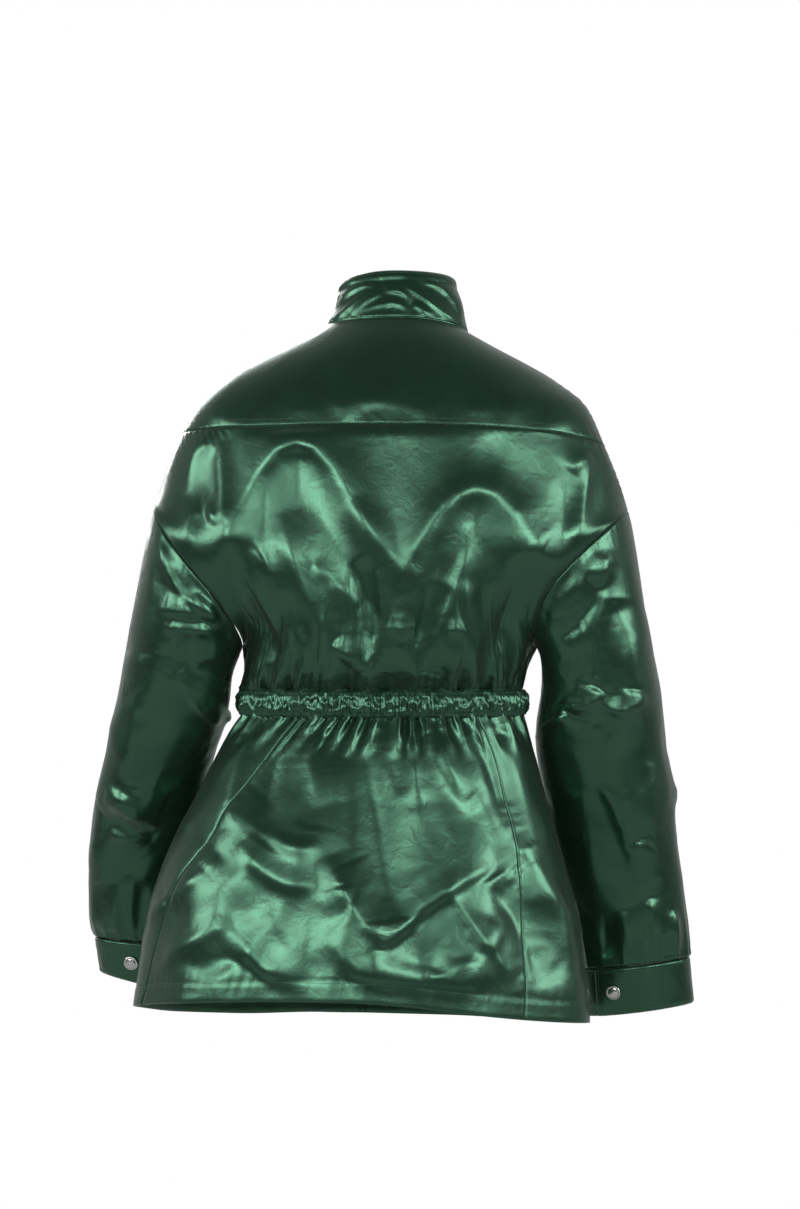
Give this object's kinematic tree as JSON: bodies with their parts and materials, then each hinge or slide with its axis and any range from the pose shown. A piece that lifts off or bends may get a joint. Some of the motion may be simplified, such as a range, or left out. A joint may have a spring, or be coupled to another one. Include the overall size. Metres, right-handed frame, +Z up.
{
  "type": "stand-collar satin jacket with elasticated waist",
  "caption": "Satin jacket with stand collar, back yoke, dropped sleeves, snapped cuffs, ruched elastic waist and flared skirt, open and hollow as worn.",
  "frame": {"origin": "centre of the neck opening, level with the collar seam at the centre back", "axes": "+Z up, the front faces -Y, the wearer's left is +X"},
  "size_m": [0.6207, 0.3358, 0.7552],
  "materials": {
    "satin": "very glossy dark green satin with soft, bright, green-tinted highlights",
    "snap_metal": "polished silver press snaps, slightly worn"
  },
  "bodies": {
    "root": {"collar": "satin", "back_yoke": "satin", "back_panel": "satin", "front_left": "satin", "front_right": "satin", "sleeve_left": "satin", "sleeve_right": "satin", "cuff_left": "satin", "cuff_right": "satin", "waist_casing": "satin", "skirt_back": "satin", "skirt_left": "satin", "skirt_right": "satin", "placket": "satin", "front_snap_1": "snap_metal", "front_snap_2": "snap_metal", "front_snap_3": "snap_metal", "front_snap_4": "snap_metal", "front_snap_5": "snap_metal", "front_snap_6": "snap_metal", "front_snap_7": "snap_metal", "front_snap_8": "snap_metal", "cuff_snap_left": "snap_metal", "cuff_snap_right": "snap_metal"}
  },
  "joints": []
}
